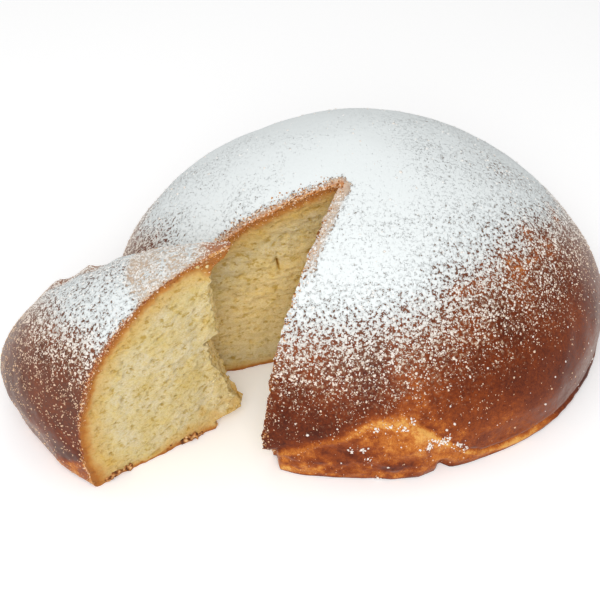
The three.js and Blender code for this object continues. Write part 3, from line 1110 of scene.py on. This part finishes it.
finish_crumb(crumb_finish)
print("the crumb's finish has", len(crumb_finish.node_tree.nodes), "nodes")

# %% [markdown]
# ## Small things strewn on the bread
#
# From close by, the sugar isn't paint: it lies in lumps about a millimetre wide, and single grains have
# rolled down the flanks. Flakes of crust cling to the cuts' rims, and crumbs to the torn end. A place is
# drawn on a triangle of the bread by its area and by a weight, so that the things crowd where they should.
# All things of one kind become one mesh, and so one piece.

# %% A place on the crust or on the crumb
ON_CRUST = 0
ON_CRUMB = 1


def drawn_spots(piece, kind, weight_of, count, draw):
    mesh = piece.data
    mesh.calc_loop_triangles()
    corners = np.empty(len(mesh.loop_triangles) * 3, dtype=int)
    mesh.loop_triangles.foreach_get("vertices", corners)
    finish = np.empty(len(mesh.loop_triangles), dtype=int)
    mesh.loop_triangles.foreach_get("material_index", finish)
    points = places(piece)[corners.reshape(-1, 3)] / MM
    ways = np.cross(points[:, 1] - points[:, 0], points[:, 2] - points[:, 0])
    area = np.linalg.norm(ways, axis=1)
    weight = area * (finish == kind) * weight_of(points.mean(axis=1))
    picked = draw.choice(len(weight), size=count, p=weight / weight.sum())
    share = draw.random((count, 2))
    outside = share.sum(axis=1) > 1
    share[outside] = 1 - share[outside]
    first, second, third = points[picked].transpose(1, 0, 2)
    spots = first + share[:, :1] * (second - first) + share[:, 1:] * (third - first)
    return spots, ways[picked] / area[picked][:, None]


# %% Laying one shape many times
UNEVENNESS = 0.18
LIFT = 0.1


def strew(name, shape, spots, up, smallest, largest, flatness, draw, finish):
    count = len(spots)
    side = np.cross(up, draw.normal(size=(count, 3)))
    side = side / np.linalg.norm(side, axis=1)[:, None]
    front = np.cross(up, side)
    size = smallest + (largest - smallest) * draw.random(count) ** 2
    stretch = draw.uniform(0.7, 1.3, size=(count, 1, 3)) * [1, 1, flatness]
    uneven = 1 + UNEVENNESS * draw.normal(size=(count, len(shape.data.vertices), 1))
    local = places(shape)[None] * stretch * uneven * size[:, None, None] / 2
    laid = local @ np.stack([side, front, up], axis=1)
    laid = laid + spots[:, None] + LIFT * size[:, None, None] * up[:, None]
    laid[:, :, 2] = np.maximum(laid[:, :, 2], 0)
    faces = np.array([face.vertices[:] for face in shape.data.polygons])
    copies = np.arange(count)[:, None, None] * len(shape.data.vertices) + faces[None]
    mesh = bpy.data.meshes.new(name)
    mesh.from_pydata((laid.reshape(-1, 3) * MM).tolist(), [], copies.reshape(-1, 3).tolist())
    mesh.shade_smooth()
    mesh.materials.append(finish)
    heap = bpy.data.objects.new(name, mesh)
    bpy.context.collection.objects.link(heap)
    return heap


# %% Gathering the heaps of one kind
def gathered(name, heaps):
    select_only(heaps[0])
    for heap in heaps[1:]:
        heap.select_set(True)
    if len(heaps) > 1:
        bpy.ops.object.join()
    whole = heaps[0]
    whole.name = name
    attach(whole, "root")
    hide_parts("loaf")
    print(name, "has", triangles(whole), "triangles")


# %% [markdown]
# ## A lump and a grain
#
# A lump is an icosphere of 20 faces, and a grain is the same with fewer faces. Smooth shading and a
# little unevenness make them look crumbly at the size they are seen. A thin grain lets the brown crust
# shine through, so grains that lie where there is little sugar have a warm tint.

# %% The two shapes
def small_shape(name):
    bpy.ops.object.select_all(action="DESELECT")
    bpy.ops.mesh.primitive_ico_sphere_add(subdivisions=1, radius=1)
    shape = bpy.context.object
    shape.name = name
    return shape


lump = small_shape("one_lump")
grain = small_shape("one_grain")
fewer = grain.modifiers.new("fewer", "DECIMATE")
fewer.ratio = 0.4
select_only(grain)
bpy.ops.object.modifier_apply(modifier=fewer.name)
print("a lump has", triangles(lump), "triangles and a grain", triangles(grain))

# %% The sugar's own finish
LUMP_WHITE = (240, 238, 234)
sugar_finish = bpy.data.materials.new("sugar_lumps")
grain_skin = begin(sugar_finish, roughness=0.9, shine=0.2)
white_share = attribute_of(sugar_finish, "white")
tint = blend_of(sugar_finish, white_share, paint(*THIN_SUGAR), paint(*LUMP_WHITE))
feed(sugar_finish, grain_skin.inputs["Base Color"], tint)

# %% [markdown]
# ## Strewing the sugar
#
# Lumps are thickest where the powder breaks up. Grains reach further down, on the wedge's flank as far as
# the foot. Small heaps were caught by the folds of the torn foot, and a thin streak lies just above it.

# %% Where sugar is strewn
def crowd(points, seed):
    return (0.5 + np.clip(0.5 + rough(points, 3.2, seed), 0, 1)) ** 3


def loaf_lumps(points):
    score = loaf_sugar(points)[0]
    return (bell(score, -0.1, 0.8) + 0.006) * crowd(points, 51) * (points[:, 2] > 2)


FOLD_STREAK = [(-25, 25, 1.2, 0.8), (-28, 28, 1.4, 0.8), (-31, 31, 1.4, 0.8)]


def loaf_grains(points):
    score = loaf_sugar(points)[0]
    local, azimuth = seen_from(points, LOAF_PLACE)
    extra = 0.25 * bell(azimuth, 16, 8) + 0.5 * places_at(FOLD_STREAK, azimuth, local[:, 2])
    return (bell(score, -1.1, 1.0) + 0.03 + extra) * crowd(points, 52) * (points[:, 2] > 1)


def wedge_lumps(points):
    score = wedge_sugar(points)[0]
    return (bell(score, -0.1, 0.9) + 0.03) * crowd(points, 53) * (points[:, 2] > 2)


def wedge_grains(points):
    score = wedge_sugar(points)[0]
    return (bell(score, -1.6, 1.8) + 0.2) * crowd(points, 54) * (points[:, 2] > 1)


FOOT_HEAPS = [
    (-5.8, 31.7, 0.5, 0.7), (-8.2, 33.4, 0.4, 0.7), (-11.3, 32, 0.6, 0.9), (-13.4, 34, 0.4, 0.5),
    (-17, 19, 0.9, 1.5), (-19.8, 21, 0.8, 1.2), (-21.3, 21.5, 0.5, 1.0), (-23.7, 16, 0.6, 1.0),
    (-25.4, 11.5, 0.5, 0.9), (-0.2, 19.5, 0.5, 0.8), (-2.6, 20, 0.4, 0.7), (-4.1, 15, 0.5, 0.8),
]


def foot_heaps(points):
    local, azimuth = seen_from(points, LOAF_PLACE)
    return places_at(FOOT_HEAPS, azimuth, local[:, 2]) + 0.002


# %% Sugar on the loaf and on the wedge
SUGAR_FLATNESS = 0.6
HEAP_WHITENESS = 0.8


def strew_sugar(shape, piece, weight_of, sugar, count, smallest, largest, seed):
    draw = np.random.default_rng(seed)
    spots, up = drawn_spots(piece, ON_CRUST, weight_of, count, draw)
    heap = strew("sugar", shape, spots, up, smallest, largest, SUGAR_FLATNESS, draw, sugar_finish)
    white = ramp(sugar(spots)[0], -3.4, 1.2) if sugar else np.full(count, HEAP_WHITENESS)
    write(heap, "white", np.repeat(white, len(shape.data.vertices)))
    return heap


gathered("sugar_lumps", [
    strew_sugar(lump, loaf, loaf_lumps, loaf_sugar, count=6200, smallest=0.5, largest=1.3, seed=61),
    strew_sugar(lump, wedge, wedge_lumps, wedge_sugar, count=1900, smallest=0.5, largest=1.3, seed=63),
    strew_sugar(lump, loaf, foot_heaps, None, count=800, smallest=0.4, largest=1.5, seed=65),
])
gathered("sugar_grains", [
    strew_sugar(grain, loaf, loaf_grains, loaf_sugar, count=9000, smallest=0.3, largest=0.8, seed=62),
    strew_sugar(grain, wedge, wedge_grains, wedge_sugar, count=3800, smallest=0.35, largest=0.9, seed=64),
])

# %% [markdown]
# ## Flakes of crust and loose crumbs
#
# A knife breaks little flakes off a crisp crust. They cling all along the rims of the cuts, white, tan and
# brown, and hang on the tops of the loaf's left face and the wedge's near face. Larger and darker bits of
# the bottom crust stand out under the wedge's face. The torn end sheds pale crumbs.

# %% Where flakes and crumbs are strewn
def loaf_rim(points):
    from_right, along_right = face_distance(points, CUT_TIP, RIGHT_FACE)
    from_left, along_left = face_distance(points, CUT_TIP, LEFT_FACE)
    by_right = 0.5 * bell(from_right, 0, 1.2) * (along_right > -1)
    by_left = bell(from_left, 0, 2.8) * (along_left > -1)
    return np.maximum(by_right, by_left) * (points[:, 2] > 3)


def face_top(points):
    from_left = face_distance(points, CUT_TIP, LEFT_FACE)[0]
    return bell(loaf_depth(points), 0, 1.4) * (np.abs(from_left) < 4) * (points[:, 2] > 50)


def wedge_rim(points):
    from_near = face_distance(points, WEDGE_TIP, WEDGE_NEAR)[0]
    return bell(from_near, 0, 1.3) * (points[:, 2] > 3)


def wedge_top(points):
    from_near = face_distance(points, WEDGE_TIP, WEDGE_NEAR)[0]
    return bell(wedge_depth(points), 0, 1.2) * (np.abs(from_near) < 4) * (points[:, 2] > 40)


def wedge_base(points):
    from_near = face_distance(points, WEDGE_TIP, WEDGE_NEAR)[0]
    return bell(from_near, 0, 0.8) * bell(points[:, 2], 2.2, 0.7) * (rough(points, 7, 71) > 0.05)


def torn_end(points):
    return ramp(from_wedge_tip(points), 30, 20) * (points[:, 2] > 4)


# %% What flakes and crumbs look like
def plain_finish(name, size_mm, stops):
    finish = bpy.data.materials.new(name)
    skin = begin(finish, roughness=0.8, shine=0.2)
    feed(finish, skin.inputs["Base Color"], colour_ramp(finish, noise_of(finish, size_mm, 1.0), stops))
    return finish


flake_finish = plain_finish("crust_flakes", 1.1, [
    (0.32, (104, 60, 30)), (0.42, (172, 108, 56)), (0.52, (216, 164, 112)), (0.66, (240, 222, 200)),
])
base_finish = plain_finish("base_flakes", 2.0, [
    (0.34, (88, 50, 26)), (0.46, (150, 92, 46)), (0.58, (196, 140, 84)), (0.7, (224, 186, 136)),
])
bit_finish = plain_finish("crumb_bits", 3.0, [(0.3, (206, 182, 122)), (0.7, (230, 212, 162))])


# %% Flakes and crumbs on the bread
BIT_FLATNESS = 0.5


def strew_bits(piece, kind, weight_of, finish, count, smallest, largest, seed):
    draw = np.random.default_rng(seed)
    spots, up = drawn_spots(piece, kind, weight_of, count, draw)
    return strew("bits", lump, spots, up, smallest, largest, BIT_FLATNESS, draw, finish)


gathered("crust_flakes", [
    strew_bits(loaf, ON_CRUST, loaf_rim, flake_finish, count=2100, smallest=0.3, largest=1.1, seed=66),
    strew_bits(loaf, ON_CRUMB, face_top, flake_finish, count=420, smallest=0.25, largest=0.8, seed=70),
    strew_bits(wedge, ON_CRUST, wedge_rim, flake_finish, count=650, smallest=0.3, largest=1.0, seed=67),
    strew_bits(wedge, ON_CRUMB, wedge_top, flake_finish, count=260, smallest=0.25, largest=0.8, seed=72),
    strew_bits(wedge, ON_CRUMB, wedge_base, base_finish, count=160, smallest=0.8, largest=3.4, seed=68),
])
gathered("loose_crumbs", [
    strew_bits(wedge, ON_CRUMB, torn_end, bit_finish, count=260, smallest=0.5, largest=1.9, seed=69),
])
bpy.data.objects.remove(lump)
bpy.data.objects.remove(grain)

# %% [markdown]
# ## The floor, the light and the camera
#
# The bread stands on a plain pale floor under a bright, even sky. The floor glows a little of itself, so
# that it stays nearly white. One large soft lamp hangs above the bread, a little behind and to the left,
# and a second one shines from the camera's side. The camera looks down at 41 degrees from about 60 cm
# away, as a person at a table does, and is tilted by less than two degrees.

# %% The floor
FLOOR_DROP = 0.2
FLOOR_WHITE = (250, 250, 250)
FLOOR_GLOW = 0.17
bpy.ops.object.select_all(action="DESELECT")
bpy.ops.mesh.primitive_plane_add(size=6, location=(0, 0, -FLOOR_DROP * MM))
floor = bpy.context.object
floor.name = "pale_floor"
pale = bpy.data.materials.new("pale_paper")
paper = begin(pale, roughness=0.9, shine=0.5)
paper.inputs["Base Color"].default_value = paint(*FLOOR_WHITE)
paper.inputs["Emission Color"].default_value = (1, 1, 1, 1)
paper.inputs["Emission Strength"].default_value = FLOOR_GLOW
floor.data.materials.append(pale)

# %% The light
SKY_LIGHT = 0.56
LAMP_TARGET = Vector((0, 0, 0.05))
sky = bpy.data.worlds.new("soft_sky")
sky.use_nodes = True
sky.node_tree.nodes["Background"].inputs["Color"].default_value = (1, 1, 1, 1)
sky.node_tree.nodes["Background"].inputs["Strength"].default_value = SKY_LIGHT
bpy.context.scene.world = sky


def soft_lamp(name, place, size, power):
    lamp = bpy.data.lights.new(name, "AREA")
    lamp.size = size
    lamp.energy = power
    holder = bpy.data.objects.new(name, lamp)
    bpy.context.collection.objects.link(holder)
    holder.location = place
    holder.rotation_euler = (LAMP_TARGET - Vector(place)).to_track_quat("-Z", "Y").to_euler()
    print("the", name, "is", size, "m wide and gives", power, "W")


soft_lamp("key_lamp", (-0.3, 0.25, 1.0), size=0.9, power=1.9)
soft_lamp("front_lamp", (0.0, -0.76, 0.65), size=0.7, power=5.4)

# %% The camera
CAMERA_AZIMUTH = 2.925
CAMERA_ELEVATION = 40.769
CAMERA_ROLL = 1.787
CAMERA_DISTANCE = 594.8
CAMERA_TARGET = (-5.35, 0.0, 13.2)
CAMERA_LENS = 67.68

turn = math.radians(CAMERA_AZIMUTH)
rise = math.radians(CAMERA_ELEVATION)
roll = math.radians(CAMERA_ROLL)
back = Vector((math.sin(turn) * math.cos(rise), -math.cos(turn) * math.cos(rise), math.sin(rise)))
level = Vector((math.cos(turn), math.sin(turn), 0))
upward = back.cross(level)
right = level * math.cos(roll) - upward * math.sin(roll)
upward = level * math.sin(roll) + upward * math.cos(roll)
camera = bpy.data.objects.new("camera", bpy.data.cameras.new("camera"))
bpy.context.collection.objects.link(camera)
camera.location = (Vector(CAMERA_TARGET) + back * CAMERA_DISTANCE) * MM
camera.rotation_euler = Matrix((right, upward, back)).transposed().to_euler()
camera.data.lens = CAMERA_LENS
camera.data.sensor_width = 36
camera.data.clip_start = 0.05
bpy.context.scene.camera = camera
bpy.context.scene.view_settings.view_transform = "Standard"
print("the camera looks down at", round(CAMERA_ELEVATION), "degrees")

# %% [markdown]
# ## Finishing
#
# The new surface should keep to the imported bread's box, and only sugar may stand a little proud of it.

# %% Finish
bpy.context.view_layer.update()
